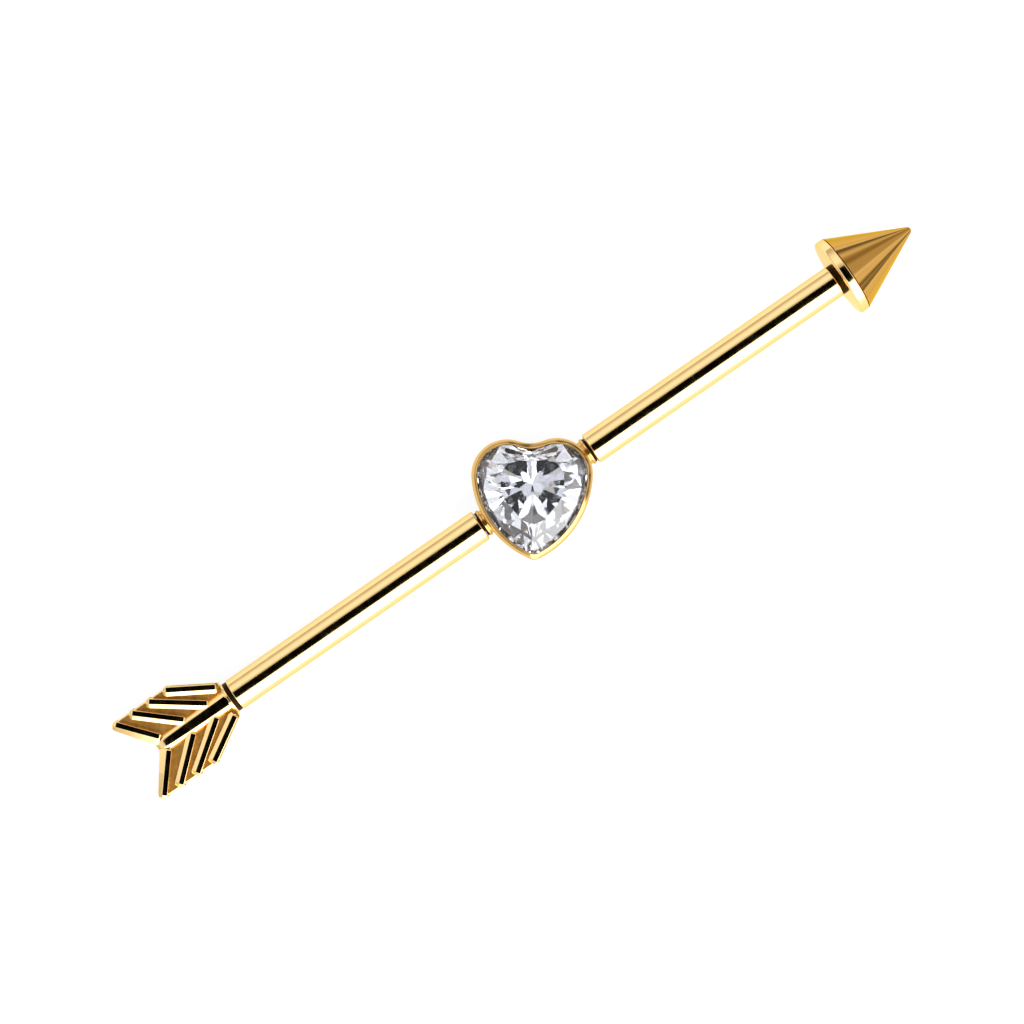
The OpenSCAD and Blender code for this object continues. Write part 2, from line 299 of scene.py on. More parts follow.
def half_window(piece, z):
    """Lays out the right half of the window's edge, with as many points as a half heart."""
    start_chain(piece, (0, window_r - culet_drop, z))
    spin_on((0, -culet_drop), z, math.pi / 2, -math.pi / 2, chain_steps)


def mirror_over(piece):
    """Mirrors a half piece over the plane between the lobes."""
    select_only(piece)
    bpy.ops.object.modifier_add(type="MIRROR")
    piece.modifiers[-1].merge_threshold = 0.001
    bpy.ops.object.modifier_apply(modifier=piece.modifiers[-1].name)
    close_up(piece)


# Each level is how far out from the girdle it lies, and its height. The rim slopes down and out
# from its inner edge, as the burnisher leaves it.
grow = stone_gap + wall_t
side = [(grow - 0.06, cup_back), (grow - 0.018, cup_back + 0.018), (grow, cup_back + 0.06),
        (grow, 1.05)]
rim = [(0.24, 1.07), (0.236, 1.12), (0.222, 1.165), (0.198, 1.205), (0.055, 1.343),
       (0.03, 1.36), (0, 1.372), (-0.025, 1.372), (-0.04, 1.36), (-0.04, 1.27)]
pocket = [(stone_gap, 1.27), (stone_gap, 1.17), (stone_gap, seat_z), (stone_gap - seat_w, seat_z),
          (stone_gap - seat_w, cup_back + back_t)]
bpy.ops.mesh.primitive_plane_add(size=1)
cup = bpy.context.object
cup.name = "bezel_cup"
edit(cup)
bpy.ops.mesh.select_all(action="SELECT")
bpy.ops.mesh.delete(type="VERT")
half_window(cup, cup_back)
for out, z in side + rim:
    half_heart(cup, out, outer_notch_r, outer_point_r, z)
for out, z in pocket:
    half_heart(cup, out, inner_notch_r, inner_point_r, z)
half_window(cup, cup_back + back_t)
bpy.ops.object.mode_set(mode="OBJECT")

# Each outline is bridged to the next, and the last to the first
chain = chain_steps + 1
chains = len(cup.data.vertices) // chain
for i in range(chains):
    edit(cup)
    bpy.ops.object.mode_set(mode="OBJECT")
    for j in (i, (i + 1) % chains):
        for point in list(cup.data.vertices)[j * chain:(j + 1) * chain]:
            point.select = True
    bpy.ops.object.mode_set(mode="EDIT")
    bpy.ops.mesh.select_mode(type="EDGE")
    bpy.ops.mesh.bridge_edge_loops()
    bpy.ops.object.mode_set(mode="OBJECT")
mirror_over(cup)

# Bare steel in the pocket under the stone and on the screws of the two ends, which were masked
# while the gold went on. It keeps the neutral shine of the polish, with a haze 0.25 mm wide.
bright_steel, tree, shader, place = new_material("steel_polished_uncoated")
marks = node(tree, "ShaderNodeTexNoise", {"Vector": place, "Scale": grains(0.25), "Detail": 3})
tone = node(tree, "ShaderNodeMix", {"Factor": marks.outputs["Fac"], "A": linear("#E4E5EA"),
                                    "B": linear("#F4F5FA")}, data_type="RGBA")
relief = node(tree, "ShaderNodeBump", {"Height": marks.outputs["Fac"], "Strength": 1,
                                       "Distance": 0.000001})
tree.links.new(tone.outputs["Result"], shader.inputs["Base Color"])
tree.links.new(relief.outputs["Normal"], shader.inputs["Normal"])
shader.inputs["Metallic"].default_value = 1
shader.inputs["Roughness"].default_value = 0.12

# Gold PVD on a casting polished by tumbling, which leaves it a little darker than the shafts.
# Its pocket, which faces the stone, is left bare.
tumbled_gold = gold_pvd("gold_pvd_cast_and_tumbled", "#E0B878", "#CCA362", 0.11)
for finish in (tumbled_gold, uncoated_steel_painted_gap_shade, bright_steel):
    cup.data.materials.append(finish)
for face in cup.data.polygons:
    inwards = face.normal.xy.dot(face.center.xy + Vector((0, culet_drop))) < -0.01
    if inwards and face.center.z < 1.28:
        face.material_index = 2
    elif face.normal.z > 0.9 and face.center.z < seat_z + 0.01:
        face.material_index = 2

# The heart is turned on the bar and centred along it, so that both shafts are equally long
cup.rotation_euler = (0, 0, math.radians(heart_turn - 90))
select_only(cup)
bpy.ops.object.transform_apply(location=True, rotation=True, scale=True)
corners = [Vector(corner) for corner in cup.bound_box]
heart_place = Vector((-sum(c.x for c in corners) / 8, -sum(c.y for c in corners) / 8, 0))
cup_reach = max(c.x for c in corners) + heart_place.x
cup.location = heart_place
bpy.ops.object.transform_apply(location=True, rotation=True, scale=True)

stud_r = 0.45
thread_depth = 0.09
thread_pitch = 0.25
stud_length = 2.5
stud_chamfer = 0.1


def joined(piece, *others):
    """Fuses other solids into a piece, as a casting or a weld does."""
    for other in others:
        select_only(piece)
        bpy.ops.object.modifier_add(type="BOOLEAN")
        fuse = piece.modifiers[-1]
        fuse.operation = "UNION"
        fuse.solver = "EXACT"
        fuse.object = other
        bpy.ops.object.modifier_apply(modifier=fuse.name)
        bpy.data.objects.remove(other)
    return piece


def stud_steps(x, way):
    """Steps of a stud's core, from its free end in to its root at x."""
    core = stud_r - thread_depth
    return [(x + way * stud_length, core - stud_chamfer),
            (x + way * (stud_length - stud_chamfer), core), (x, core)]


def thread(x, way):
    """Screw thread on a stud: a small triangle wound round the core."""
    turns = 8
    bpy.ops.mesh.primitive_circle_add(vertices=3, radius=thread_depth, fill_type="NOTHING",
                                      location=(x + way * 2 * thread_pitch, 0,
                                                stud_r - thread_depth),
                                      rotation=(math.pi / 2, 0, 0))
    ridge = bpy.context.object
    ridge.name = "thread"
    select_only(ridge)
    bpy.ops.object.transform_apply(location=True, rotation=True, scale=True)
    bpy.ops.object.modifier_add(type="SCREW")
    wind = ridge.modifiers[-1]
    wind.axis = "X"
    wind.screw_offset = way * thread_pitch
    wind.iterations = turns
    wind.steps = 32
    wind.render_steps = 32
    bpy.ops.object.modifier_apply(modifier=wind.name)
    edit(ridge)
    bpy.ops.mesh.select_non_manifold()
    bpy.ops.mesh.fill_holes(sides=3)
    bpy.ops.object.mode_set(mode="OBJECT")
    close_up(ridge, merge=0.00001)
    return ridge


def with_thread(piece, *threads):
    """Puts threads on a piece's studs."""
    select_only(*threads, piece)
    bpy.ops.object.join()
    return piece


waist_r = 0.62
waist_w = 0.06
neck_r = 0.7
neck_w = 0.12
shoulder_r = 0.64
neck_length = 0.28
neck_end = cup_reach + neck_length
for way in (1, -1):
    neck = turned("neck", stud_steps(way * neck_end, way) + [
        (way * neck_end, shoulder_r - 0.01), (way * (cup_reach + waist_w + neck_w), shoulder_r),
        (way * (cup_reach + waist_w + neck_w), neck_r), (way * (cup_reach + waist_w), neck_r),
        (way * (cup_reach + waist_w - 0.02), waist_r), (way * (cup_reach - wall_t), waist_r)], 96)
    round_rings(neck, [way * (cup_reach + waist_w + neck_w), way * (cup_reach + waist_w)], neck_r,
                0.03, 3)
    joined(cup, neck)
setting = with_thread(cup, thread(neck_end, 1), thread(-neck_end, -1))
setting.name = "bezel_with_necks"
# The shoulders and screws beyond the necks take the near-black steel, as painted shade in the gaps
# at the shafts' ends
for face in setting.data.polygons:
    if abs(face.center.x) > cup_reach + waist_w + neck_w - 0.001:
        face.material_index = 1
lay_down(setting, "bar", "heart_setting")

# Heart stone
# A clear cubic zirconia, cut as a heart brilliant: table, crown, ground girdle, and a pavilion in
# two tiers. It sits with its girdle on the cup's seat, and the rim is pressed over it.
crown_h = 0.7
girdle_top = girdle_z + girdle_t / 2
girdle_bottom = girdle_z - girdle_t / 2
notch_depth = 0.4
main_angles = [95, 58, 19, -20, -58, -81]
half_spread = 10
pavilion_spread = 11
table_share = 0.6
star_share = 1.23
girdle_bite = 0.985
culet_depth = 2.11
kite_reach = 1
rim_slope = 24
half_rise = 1.2
star_rise = 1.85

notch = Vector((0, lobe_r - notch_depth))
to_notch = notch - lobe_centre
edge_angle = math.atan2(to_notch.y, to_notch.x) - math.acos(lobe_r / to_notch.length)
lobe_start = lobe_centre + lobe_r * Vector((math.cos(edge_angle), math.sin(edge_angle)))


def half_blank(name, low, high):
    """Saws the right half of a heart-shaped blank between two heights, open to edit."""
    bpy.ops.mesh.primitive_plane_add(size=1)
    blank = bpy.context.object
    blank.name = name
    edit(blank)
    bpy.ops.mesh.select_all(action="SELECT")
    bpy.ops.mesh.delete(type="VERT")
    start_chain(blank, (0, notch.y, low))
    bpy.ops.mesh.extrude_region_move(
        TRANSFORM_OT_translate={"value": (lobe_start.x, lobe_start.y - notch.y, 0)})
    spin_on(lobe_centre, low, edge_angle, join_angle, 40)
    spin_on(side_centre, low, join_angle,
            math.atan2(girdle_point.y - side_centre.y, -side_centre.x), 24)
    bpy.ops.mesh.select_all(action="SELECT")
    bpy.ops.mesh.edge_face_add()
    bpy.ops.mesh.extrude_region_move(TRANSFORM_OT_translate={"value": (0, 0, high - low)})
    bpy.ops.mesh.select_all(action="SELECT")
    bpy.ops.mesh.normals_make_consistent(inside=False)
    return blank


def edge_distance(angle):
    """How far the girdle reaches from the culet's axis, in the direction of a facet."""
    ray = Vector((math.cos(angle), math.sin(angle)))
    reach = (girdle_point.y + culet_drop) * ray.y
    if angle > join_angle:
        return lobe_centre.dot(ray) + lobe_r + culet_drop * ray.y
    if angle > math.radians(-67):
        return side_centre.dot(ray) + side_r + culet_drop * ray.y
    return reach


def grind(angle, apex, slope):
    """Grinds one facet, whose plane meets the culet's axis at a height and slopes down from it
    towards the girdle (crown), or up (pavilion, negative slope)."""
    lean = math.radians(slope if slope > 0 else 180 + slope)
    bpy.ops.mesh.select_all(action="SELECT")
    bpy.ops.mesh.bisect(
        plane_co=(0, -culet_drop, apex), use_fill=True, clear_outer=True,
        plane_no=(math.sin(lean) * math.cos(angle), math.sin(lean) * math.sin(angle),
                  math.cos(lean)))


def finish_half(piece):
    """Opens the half stone where its two halves meet, and mirrors it."""
    pick(piece, lambda co: abs(co.x) < 0.0005)
    bpy.ops.mesh.select_mode(type="FACE")
    bpy.ops.mesh.delete(type="ONLY_FACE")
    bpy.ops.object.mode_set(mode="OBJECT")
    mirror_over(piece)


# Crown, girdle and the pavilion's upper tier
stone = half_blank("heart_cut_stone", girdle_bottom - 1.3, girdle_top + crown_h)
half_angles = [angle + side * half_spread for angle in main_angles for side in (-1, 1)]
star_angles = [(a + b) / 2 for a, b in zip(main_angles, main_angles[1:])]
crown_apex = crown_h / (1 - table_share)
for family, height, share in ((main_angles, crown_apex, girdle_bite),
                              (half_angles, half_rise * crown_apex, girdle_bite),
                              (star_angles, star_rise * crown_h, star_share)):
    for angle in map(math.radians, family):
        grind(angle, girdle_top + height,
              math.degrees(math.atan(height / (share * edge_distance(angle)))))
for angle in map(math.radians, main_angles + half_angles):
    depth = girdle_bite * edge_distance(angle) * math.tan(math.radians(rim_slope))
    grind(angle, girdle_bottom - depth, -rim_slope)
finish_half(stone)

# The pavilion's lower tier, whose facets send the light back up. A pair that faces each other
# looks dark where their two slopes send it back to the camera.
pavilion = half_blank("pavilion", girdle_bottom - 2.3, girdle_bottom + 0.03)
pavilion_mains = [50, -5, -46]
half_slope = 43.4
main_slope = 41.1
kite_rise = (math.tan(math.radians(half_slope)) * math.cos(math.radians(pavilion_spread))
             - math.tan(math.radians(main_slope)))
half_depth = culet_depth + kite_reach * kite_rise
for main in pavilion_mains:
    grind(math.radians(main), girdle_bottom - culet_depth, -main_slope)
    for side in (-1, 1):
        grind(math.radians(main + side * pavilion_spread), girdle_bottom - half_depth, -half_slope)
for angle, slope in ((78, 40.6), (89, 39.8)):
    grind(math.radians(angle), girdle_bottom - culet_depth - 0.01, -slope)

# One steep facet under the notch
grind(math.radians(110), girdle_bottom - 3.2, -62)
finish_half(pavilion)
joined(stone, pavilion)
close_up(stone, merge=0.001)
stone.rotation_euler = (0, 0, math.radians(heart_turn - 90))
stone.location = heart_place
select_only(stone)
bpy.ops.object.transform_apply(location=True, rotation=True, scale=True)

# Clear cubic zirconia lapped to a mirror polish. A few faint marks of the lap stay on the facets,
# drawn 0.17 mm wide, or they would be too fine to show.
clear_stone, tree, shader, place = new_material("cubic_zirconia_polished")
lap_marks = node(tree, "ShaderNodeTexNoise", {"Vector": place, "Scale": grains(0.17), "Detail": 2})
gloss = node(tree, "ShaderNodeMapRange", {"Value": lap_marks.outputs["Fac"], "From Min": 0.55,
                                          "From Max": 0.8, "To Min": 0, "To Max": 0.03})
tree.links.new(gloss.outputs["Result"], shader.inputs["Roughness"])
shader.inputs["Base Color"].default_value = linear("#F0F3FF")
shader.inputs["Transmission Weight"].default_value = 0.96
shader.inputs["IOR"].default_value = 2.15

# The same stone where the girdle was only ground, with a grit of 0.05 mm: it is frosted and
# looks white.
frosted_stone, tree, shader, place = new_material("cubic_zirconia_ground")
frost = node(tree, "ShaderNodeTexNoise", {"Vector": place, "Scale": grains(0.05), "Detail": 2})
tone = node(tree, "ShaderNodeMix", {"Factor": frost.outputs["Fac"], "A": linear("#D6D9E6"),
                                    "B": linear("#F4F5FC")}, data_type="RGBA")
relief = node(tree, "ShaderNodeBump", {"Height": frost.outputs["Fac"], "Strength": 1,
                                       "Distance": 0.000005})
tree.links.new(tone.outputs["Result"], shader.inputs["Base Color"])
tree.links.new(relief.outputs["Normal"], shader.inputs["Normal"])
shader.inputs["Transmission Weight"].default_value = 0.5
shader.inputs["IOR"].default_value = 2.15
shader.inputs["Roughness"].default_value = 0.5
stone.data.materials.append(clear_stone)
stone.data.materials.append(frosted_stone)
for face in stone.data.polygons:
    if abs(face.normal.z) < 0.05:
        face.material_index = 1
lay_down(stone, "bar", "heart_stone", sharp=1)

# Arrowhead
# A steel spike turned in one piece with its stud: a ring in its seat, painted near black as shade,
# a flat base, a narrow band with rounded edges and a long cone, coated with gold PVD. It screws
# into the front shaft.
head_r = 2
head_length = 4.25
band_w = 0.46
band_round = 0.14
groove_r = 1.9
ring_r = 0.775
tip_r = 0.2
cone_r = 1.975
line_count = 14
tip_x = seat_x + head_length - tip_r
cone_angle = math.atan2(cone_r - tip_r, tip_x - seat_x - band_w)
tip_steps = [(tip_x + tip_r * math.sin(a), tip_r * math.cos(a))
             for a in (cone_angle + (math.pi / 2 - cone_angle) * i / 6 for i in range(6))]
head = turned("spike_with_stud", stud_steps(seat_x - ring_w, -1) + [
    (seat_x - ring_w, ring_r - 0.02), (seat_x - ring_w + 0.02, ring_r), (seat_x, ring_r),
    (seat_x, head_r), (seat_x + band_w, head_r), (seat_x + band_w + 0.015, groove_r),
    (seat_x + band_w + 0.04, cone_r)] + tip_steps)
round_rings(head, [seat_x], head_r, band_round)
round_rings(head, [seat_x + band_w], head_r, 0.05, 3)
with_thread(head, thread(seat_x - ring_w, -1))

# Gold PVD over a cone that was turned, then drawn along its length on the wheel. Lines run from
# the band to the tip and break its reflections up into streaks, and along them the colour is
# painted darker and lighter, as painted reflection streaks. They follow the bearing round the cone,
# 14 grains to a radian, so that they narrow towards the tip.
turned_gold_with_painted_streaks, tree, shader, place = new_material("gold_pvd_turned_with_painted_streaks")
centred = node(tree, "ShaderNodeMapping", {"Vector": place, "Location": -bar_middle})
level = node(tree, "ShaderNodeMapping", {"Vector": centred.outputs["Vector"],
                                         "Rotation": (0, tilt, 0)})
parts = node(tree, "ShaderNodeSeparateXYZ", {"Vector": level.outputs["Vector"]})
bearing = node(tree, "ShaderNodeMath", {0: parts.outputs["Y"], 1: parts.outputs["Z"]},
               operation="ARCTAN2")
unrolled = node(tree, "ShaderNodeCombineXYZ", {"X": bearing.outputs["Value"],
                                               "Y": parts.outputs["X"]})
drawn_lines_and_painted_streaks = node(tree, "ShaderNodeTexNoise", {"Vector": unrolled.outputs["Vector"],
                                          "Scale": line_count, "Detail": 3})
# Painted reflection streaks: the colour runs from dark to light along the lines, while their bump
# is real relief
tone = node(tree, "ShaderNodeMix", {"Factor": drawn_lines_and_painted_streaks.outputs["Fac"], "A": linear("#A87831"),
                                    "B": linear("#DEB062")}, data_type="RGBA")
relief = node(tree, "ShaderNodeBump", {"Height": drawn_lines_and_painted_streaks.outputs["Fac"], "Strength": 1,
                                       "Distance": 0.0000015})
tree.links.new(tone.outputs["Result"], shader.inputs["Base Color"])
tree.links.new(relief.outputs["Normal"], shader.inputs["Normal"])
shader.inputs["Metallic"].default_value = 1
shader.inputs["Roughness"].default_value = 0.06
shader.inputs["Specular Tint"].default_value = linear("#FFE9A0")
for finish in (polished_gold, turned_gold_with_painted_streaks, uncoated_steel_painted_gap_shade, bright_steel):
    head.data.materials.append(finish)
for face in head.data.polygons:
    if face.center.x > seat_x + band_w + 0.005:
        face.material_index = 1
    elif face.center.x < seat_x - ring_w - 0.001:
        face.material_index = 3
    # The ring in the seat takes the near-black steel, as painted shade in the gap at the shaft's
    # end
    elif face.center.x < seat_x - 0.001:
        face.material_index = 2
lay_down(head, "arrowhead", "arrowhead")

# Fletching
# The feather tail is one steel casting with its stud: a collar, a tapering rib and two vanes with
# four slanting ridges on each face. The rib and ridges are polished and the valleys keep the
# skin of the casting. It is coated with gold PVD and screws into the rear shaft.
vane_start = 0.3
vane_y = 2.16
vane_front = Vector((2.3208, vane_y))
vane_rear = Vector((5.525, vane_y))
rib_length = 4.4
notch_edge = Vector((rib_length, 0.2625))
web_t = 0.8
tail_length = 5.65
ridge_r = 0.25
ridge_pitch = 0.97
ridge_count = 4
ridge_end_y = 1.97
ridge_angles = [math.radians(angle) for angle in (31, 36.2, 41.6, 49.9)]
last_flare = 0.12
edge_round = 0.08
foot_z = 0.3
front_lean = 0.04
crest_round = 0.025
shrink_z = 0.36
back_start = -0.05
back_slope = math.radians(27)
last_ridge = tail_length - ridge_r
top_z = web_t / 2 + ridge_r


def box(name, low, high):
    """Adds a box between two corners."""
    low, high = Vector(low), Vector(high)
    bpy.ops.mesh.primitive_cube_add(size=1, location=(low + high) / 2, scale=high - low)
    made = bpy.context.object
    made.name = name
    select_only(made)
    bpy.ops.object.transform_apply(location=True, rotation=True, scale=True)
    return made


def cut_off(piece, start, end):
    """Cuts off what lies on the left of a line seen from above."""
    along = (end - start).normalized()
    edit(piece)
    bpy.ops.mesh.select_all(action="SELECT")
    bpy.ops.mesh.bisect(plane_co=(start.x, start.y, 0), plane_no=(-along.y, along.x, 0),
                        use_fill=True, clear_outer=True)
    bpy.ops.object.mode_set(mode="OBJECT")


def ridge(length, angle, end_x, flare):
    """One ridge: a steep front, a flat crest and a back that slopes down, tapered at both ends.
    The back of the last one flares towards the rib."""
    made = box("ridge", (-length / 2 - 0.05, -ridge_r, foot_z),
               (-length / 2 + 0.05, ridge_r, top_z))
    edit(made)
    pick(made, lambda co: co.z > 0.5 and co.y > 0)
    bpy.ops.transform.translate(value=(0, -front_lean, 0))
    bpy.ops.mesh.select_all(action="SELECT")
    bpy.ops.mesh.bisect(plane_co=(0, back_start, top_z), use_fill=True, clear_outer=True,
                        plane_no=(0, -math.sin(back_slope), math.cos(back_slope)))
    for is_edge in (lambda co: co.y > 0.1, lambda co: abs(co.y - back_start) < 0.01,
                    lambda co: co.y < -0.1):
        pick(made, lambda co: co.z > 0.5 and is_edge(co))
        bpy.ops.mesh.bevel(offset=crest_round, segments=3, affect="EDGES")

    # The outer end tapers over 0.22 mm and the inner one over 0.16 mm
    for way, ends in ((1, [(0, 1), (0.12, 0.88), (0.19, 0.62), (0.22, 0.35)]),
                      (-1, [(0, 1), (0.1, 0.85), (0.16, 0.5)])):
        root = 0 if way > 0 else -length
        pick(made, lambda co: way * (co.x + length / 2) > 0.04)
        here, size = -length / 2 + way * 0.05, 1
        for out, share in ends:
            bpy.ops.mesh.extrude_region_move(
                TRANSFORM_OT_translate={"value": (root + way * out - here, 0, 0)})
            here = root + way * out
            bpy.ops.transform.resize(value=(1, share / size, share / size),
                                     center_override=(here, 0, shrink_z))
            size = share

    # The flare is full at the inner end and half of that at the middle
    for start, stop, share in ((-1, 0.1, 1), (0.3, 0.8, 0.5)):
        pick(made, lambda co: co.y < -0.15 and start * length - 0.3 < co.x + length < stop * length)
        bpy.ops.transform.translate(value=(0, -flare * share, 0))
    bpy.ops.object.mode_set(mode="OBJECT")
    close_up(made)
    made.location = (end_x, ridge_end_y, 0)
    made.rotation_euler = (0, 0, angle)
    bpy.ops.object.transform_apply(location=True, rotation=True, scale=True)
    return made


vane = box("vane", (vane_start, 0, 0), (vane_rear.x, vane_y, web_t / 2))
front_root = Vector((vane_start, vane_y - (vane_front.x - vane_start) * math.tan(ridge_angles[0])))
cut_off(vane, front_root, vane_front)
cut_off(vane, vane_rear, notch_edge)
edit(vane)
pick(vane, lambda co: co.y > vane_y - 0.001 and co.z > web_t / 2 - 0.001)
bpy.ops.mesh.bevel(offset=edge_round, segments=3, affect="EDGES")
bpy.ops.object.mode_set(mode="OBJECT")
for i, angle in enumerate(ridge_angles):
    end_x = last_ridge - (ridge_count - 1 - i) * ridge_pitch
    length = min((ridge_end_y - 0.4) / math.sin(angle),
                 (end_x - vane_start - ridge_r) / math.cos(angle))
    joined(vane, ridge(length, angle, end_x, last_flare if i == ridge_count - 1 else 0))

# The quarter is opened where it meets the others, and mirrored over both planes
edit(vane)
pick(vane, lambda co: abs(co.z) < 0.0005)
bpy.ops.mesh.select_mode(type="FACE")
bpy.ops.mesh.delete(type="ONLY_FACE")
bpy.ops.mesh.select_mode(type="VERT")
pick(vane, lambda co: abs(co.y) < 0.0005)
bpy.ops.mesh.select_mode(type="FACE")
bpy.ops.mesh.delete(type="ONLY_FACE")
bpy.ops.object.mode_set(mode="OBJECT")
select_only(vane)
bpy.ops.object.modifier_add(type="MIRROR")
vane.modifiers[-1].use_axis = (False, True, True)
bpy.ops.object.modifier_apply(modifier=vane.modifiers[-1].name)
close_up(vane)

# The rib's sections: the place along it, and half its width and height there
rib_sections = [(2.4, 0.53, 0.61), (3.2, 0.5, 0.6), (3.6, 0.49, 0.59), (3.9, 0.48, 0.565),
                (4.1, 0.47, 0.535), (4.25, 0.46, 0.49), (4.35, 0.445, 0.43), (4.4, 0.42, 0.35)]
wide, high = 0.6, 0.62
rib = box("rib", (vane_start - 0.1, -wide, -high), (vane_start, wide, high))
edit(rib)
for side_y, side_z in ((-1, -1), (-1, 1), (1, -1), (1, 1)):
    pick(rib, lambda co: co.y * side_y > 0.4 and co.z * side_z > 0.4)
    bpy.ops.mesh.bevel(offset=0.45, segments=8, affect="EDGES")
pick(rib, lambda co: co.x > vane_start - 0.01)
here = vane_start
for s, half_w, half_h in rib_sections:
    bpy.ops.mesh.extrude_region_move(TRANSFORM_OT_translate={"value": (s - here, 0, 0)})
    bpy.ops.transform.resize(value=(1, half_w / wide, half_h / high), center_override=(s, 0, 0))
    here, wide, high = s, half_w, half_h
bpy.ops.object.mode_set(mode="OBJECT")
close_up(rib)
joined(vane, rib)
dark_neck_r = 0.76
dark_neck_w = 0.185
collar_r = 0.79
collar_groove_r = 0.71
collar_end = 0.36
collar = turned("collar", stud_steps(0, -1) + [
    (0, dark_neck_r - 0.02), (0.02, dark_neck_r), (dark_neck_w, dark_neck_r),
    (dark_neck_w, collar_r), (vane_start, collar_r), (vane_start, collar_groove_r),
    (collar_end, collar_groove_r), (collar_end, 0.5)], 96)
round_rings(collar, [dark_neck_w, vane_start], collar_r, 0.03, 3)
tail = joined(vane, collar)
with_thread(tail, thread(0, -1))
tail.name = "feather_tail"
select_only(tail)
tail.location = (-seat_x, 0, 0)
tail.rotation_euler = (0, 0, math.pi)
bpy.ops.object.transform_apply(location=True, rotation=True, scale=True)

# Gold PVD on the rib and the ridges, which were polished on the wheel like the shafts
cast_gold = gold_pvd("gold_pvd_cast_and_polished", "#F5D79C", "#F0CD8F", 0.1)

# Gold PVD on the casting's own skin. A grain of 0.07 mm from the mould and blotches of 0.33 mm
# make the valleys matte and brown beside the bright ridges.
as_cast, tree, shader, place = new_material("gold_pvd_on_bare_casting")
grain = node(tree, "ShaderNodeTexNoise", {"Vector": place, "Scale": grains(0.07), "Detail": 3})
blotch = node(tree, "ShaderNodeTexNoise", {"Vector": place, "Scale": grains(0.33), "Detail": 2})
tone = node(tree, "ShaderNodeMix", {"Factor": blotch.outputs["Fac"], "A": linear("#A36A28"),
                                    "B": linear("#E3AD5A")}, data_type="RGBA")
relief = node(tree, "ShaderNodeBump", {"Height": grain.outputs["Fac"], "Strength": 1,
                                       "Distance": 0.00001})
tree.links.new(tone.outputs["Result"], shader.inputs["Base Color"])
tree.links.new(relief.outputs["Normal"], shader.inputs["Normal"])
shader.inputs["Metallic"].default_value = 1
shader.inputs["Roughness"].default_value = 0.42
for finish in (cast_gold, as_cast, uncoated_steel_painted_gap_shade, bright_steel):
    tail.data.materials.append(finish)
for face in tail.data.polygons:
    if abs(face.normal.z) > 0.99 and abs(abs(face.center.z) - web_t / 2) < 0.01:
        face.material_index = 1
    elif face.center.x > -seat_x + 0.001:
        face.material_index = 3
    # The neck at the collar's front takes the near-black steel, as painted shade in the gap at the
    # shaft's end
    elif face.center.x > -seat_x - dark_neck_w + 0.001:
        face.material_index = 2
lay_down(tail, "fletching", "fletching")

# Table
# A sheet of opal acrylic with a lamp under it, so that the bar lies on pure white and casts next
# to no shadow. Its edge stays out of view.
bpy.ops.mesh.primitive_plane_add(size=1)
sheet = bpy.context.object
sheet.name = "light_table"

# Opal acrylic with a satin face: it glows evenly and shows no reflection of the bar
opal_acrylic, tree, shader, place = new_material("opal_acrylic_lit_from_below")
shader.inputs["Base Color"].default_value = linear("#959595")
shader.inputs["Roughness"].default_value = 0.6
shader.inputs["Specular IOR Level"].default_value = 0.1
shader.inputs["Emission Color"].default_value = linear("#FFFFFF")
shader.inputs["Emission Strength"].default_value = 0.85
sheet.data.materials.append(opal_acrylic)

# Light
# The bar stands in a tent of white cloth. Its -Y wall is a bright lamp box, its +Y wall a dimmer
# one, its ends are folded cloth, and the camera looks in through a dark round hole at the top.
# Where the cloth is dim, its shade is a little warm.
world = bpy.data.worlds.new("tent")
bpy.context.scene.world = world
world.use_nodes = True
tree = world.node_tree
background = tree.nodes["Background"]
direction = node(tree, "ShaderNodeTexCoord").outputs["Generated"]
parts = node(tree, "ShaderNodeSeparateXYZ", {"Vector": direction})
bearing = node(tree, "ShaderNodeMath", {0: parts.outputs["Y"], 1: parts.outputs["X"]},
               operation="ARCTAN2")
bearings = (-180, 180)
bearing = node(tree, "ShaderNodeMapRange", {"Value": bearing.outputs["Value"],
                                            "From Min": -math.pi, "From Max": math.pi})
heights = (0, 120)


def angle_from(axis):
    """Angle of each direction from an axis, as a share of 120 degrees."""
    along = node(tree, "ShaderNodeVectorMath", {0: direction, 1: axis}, operation="DOT_PRODUCT")
    angle = node(tree, "ShaderNodeMath", {0: along.outputs["Value"]}, operation="ARCCOSINE")
    share = node(tree, "ShaderNodeMath", {0: angle.outputs["Value"], 1: math.radians(120)},
                 operation="DIVIDE")
    return share.outputs["Value"]


# The hole leans 2 degrees to the lamp box, which sets the dark stripe along the shafts
square_up = Vector((-math.sin(tilt), 0, math.cos(tilt)))
hole_lean = math.radians(2)
height = angle_from(square_up)
from_hole = angle_from(math.cos(hole_lean) * square_up - math.sin(hole_lean) * Vector((0, 1, 0)))
brightest = 4


def wall(stops, by, span):
    """Brightness of a wall of the tent as a ramp of (degrees, brightness) stops."""
    ramp = node(tree, "ShaderNodeValToRGB", {"Fac": by})
    while len(ramp.color_ramp.elements) < len(stops):
        ramp.color_ramp.elements.new(1)
    for element, (degrees, light) in zip(ramp.color_ramp.elements, stops):
        element.position = (degrees - span[0]) / (span[1] - span[0])
        shade = min(max(light, 0.01), 1)
        element.color = [light / brightest * shade ** warmth for warmth in (-0.2, 0, 0.45)] + [1]
    return ramp.outputs["Color"]


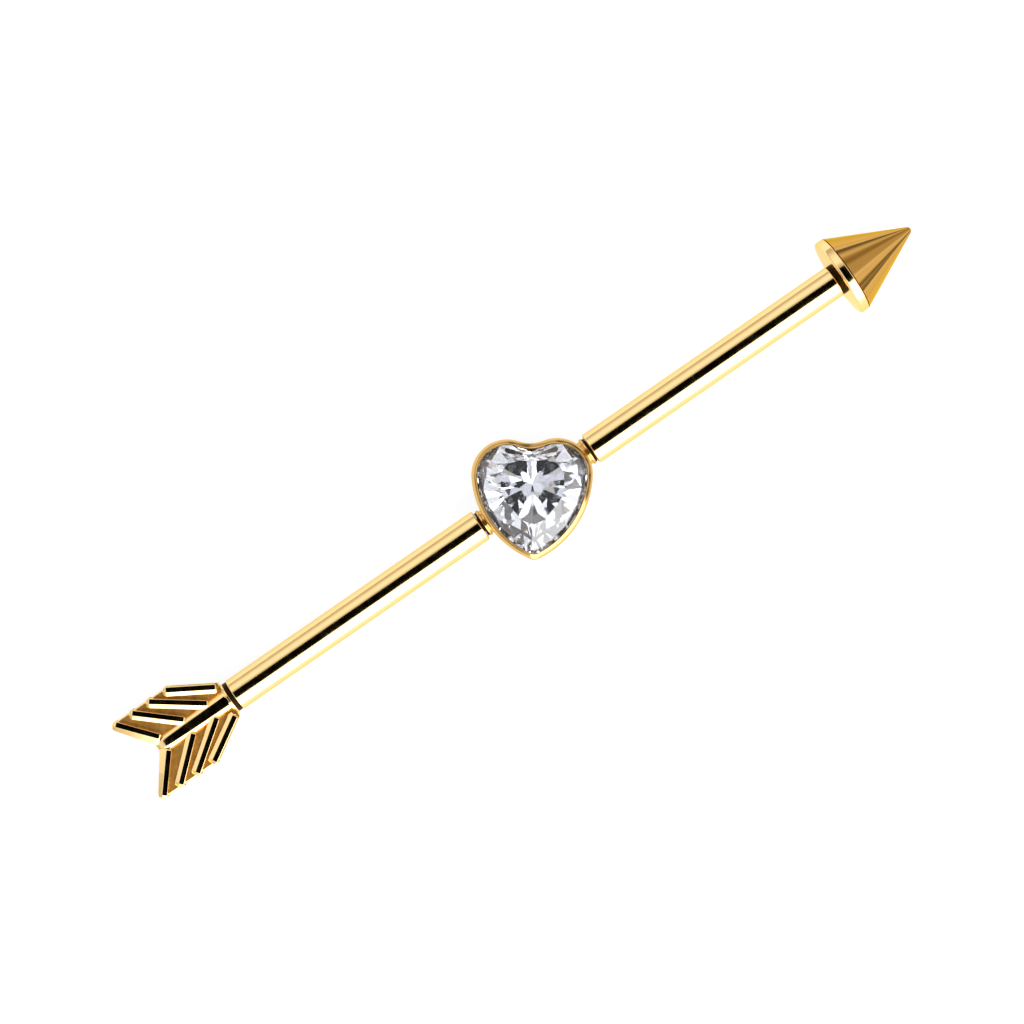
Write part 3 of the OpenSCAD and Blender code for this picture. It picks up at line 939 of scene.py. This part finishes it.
bright_wall = wall([(0, 1.5), (27, 1.6), (34, 4), (88, 4), (93, 2), (120, 1.5)], height, heights)
dim_wall = wall([(0, 0.6), (25, 0.6), (33, 1.05), (40, 1.25), (55, 1.25), (63, 1.1), (71, 0.85),
                 (79, 0.65), (88, 0.6), (92, 0.64), (97, 0.9), (120, 1)], height, heights)
end_cloth = wall([(-180, 0.75), (-52, 0.75), (-48.5, 0.45), (-45, 0.45), (-44, 1.25),
                  (-39.5, 1.25), (-38.5, 0.25), (-35.5, 0.25), (-33, 1.1), (-28, 1.25),
                  (-17, 1.25), (-13, 0.95), (-9, 0.66), (-4, 0.7), (3, 0.85), (10, 0.72),
                  (17, 0.5), (21, 0.36), (25, 0.4), (29, 0.65), (33, 1), (38, 1.15), (43, 0.85),
                  (47, 0.5), (51, 0.45), (60, 0.75), (180, 0.75)],
                 bearing.outputs["Result"], bearings)
end_foot = wall([(0, brightest), (78, brightest), (84, 1.2), (92, 1.2), (97, brightest)], height,
                heights)
end_cloth = node(tree, "ShaderNodeMix", {"Factor": 1.0, "A": end_cloth, "B": end_foot},
                 data_type="RGBA", blend_type="MULTIPLY")
end_head = wall([(0, brightest), (48, brightest), (53, 0)], height, heights)
end_cloth = node(tree, "ShaderNodeMix", {"Factor": end_head, "A": end_cloth.outputs["Result"],
                                         "B": [1.05 / brightest] * 3 + [1]}, data_type="RGBA")
end_cloth = end_cloth.outputs["Result"]
at_bright = wall([(-150, 0), (-138, brightest), (-56, brightest), (-50, 0)],
                 bearing.outputs["Result"], bearings)
at_dim = wall([(52, 0), (58, brightest), (140, brightest), (150, 0)],
              bearing.outputs["Result"], bearings)
hole = wall([(0, 0), (23.7, 0), (24.9, brightest)], from_hole, heights)
sky = node(tree, "ShaderNodeMix", {"Factor": at_bright, "A": end_cloth, "B": bright_wall},
           data_type="RGBA")
sky = node(tree, "ShaderNodeMix", {"Factor": at_dim, "A": sky.outputs["Result"],
                                   "B": dim_wall}, data_type="RGBA")
sky = node(tree, "ShaderNodeMix", {"Factor": 1.0, "A": sky.outputs["Result"], "B": hole},
           data_type="RGBA", blend_type="MULTIPLY")
tree.links.new(sky.outputs["Result"], background.inputs["Color"])
background.inputs["Strength"].default_value = brightest

# Camera
# It looks square at the bar from 158 mm away, so 1.9 degrees from straight down, and is turned
# so that the bar rises to the right.
camera_away = 0.158
photo_turn = math.radians(-34.6)
seen_middle = Vector((-0.0016053, -0.0003305, camera_away))
camera_data = bpy.data.cameras.new("camera")
camera = bpy.data.objects.new("camera", camera_data)
bpy.context.scene.collection.objects.link(camera)
bpy.context.scene.camera = camera
camera_data.lens = 132.5 * camera_away / 0.18
camera_data.clip_start = 0.01
camera_data.clip_end = 10
camera.matrix_world = (Matrix.Translation(bar_middle) @ Matrix.Rotation(-tilt, 4, "Y")
                       @ Matrix.Translation(seen_middle) @ Matrix.Rotation(photo_turn, 4, "Z"))
bpy.context.scene.view_settings.view_transform = "Standard"
bpy.context.scene.cycles.max_bounces = 24
bpy.context.scene.cycles.transmission_bounces = 24
bpy.context.scene.cycles.glossy_bounces = 8
bpy.context.scene.cycles.caustics_reflective = False
bpy.context.scene.cycles.caustics_refractive = False
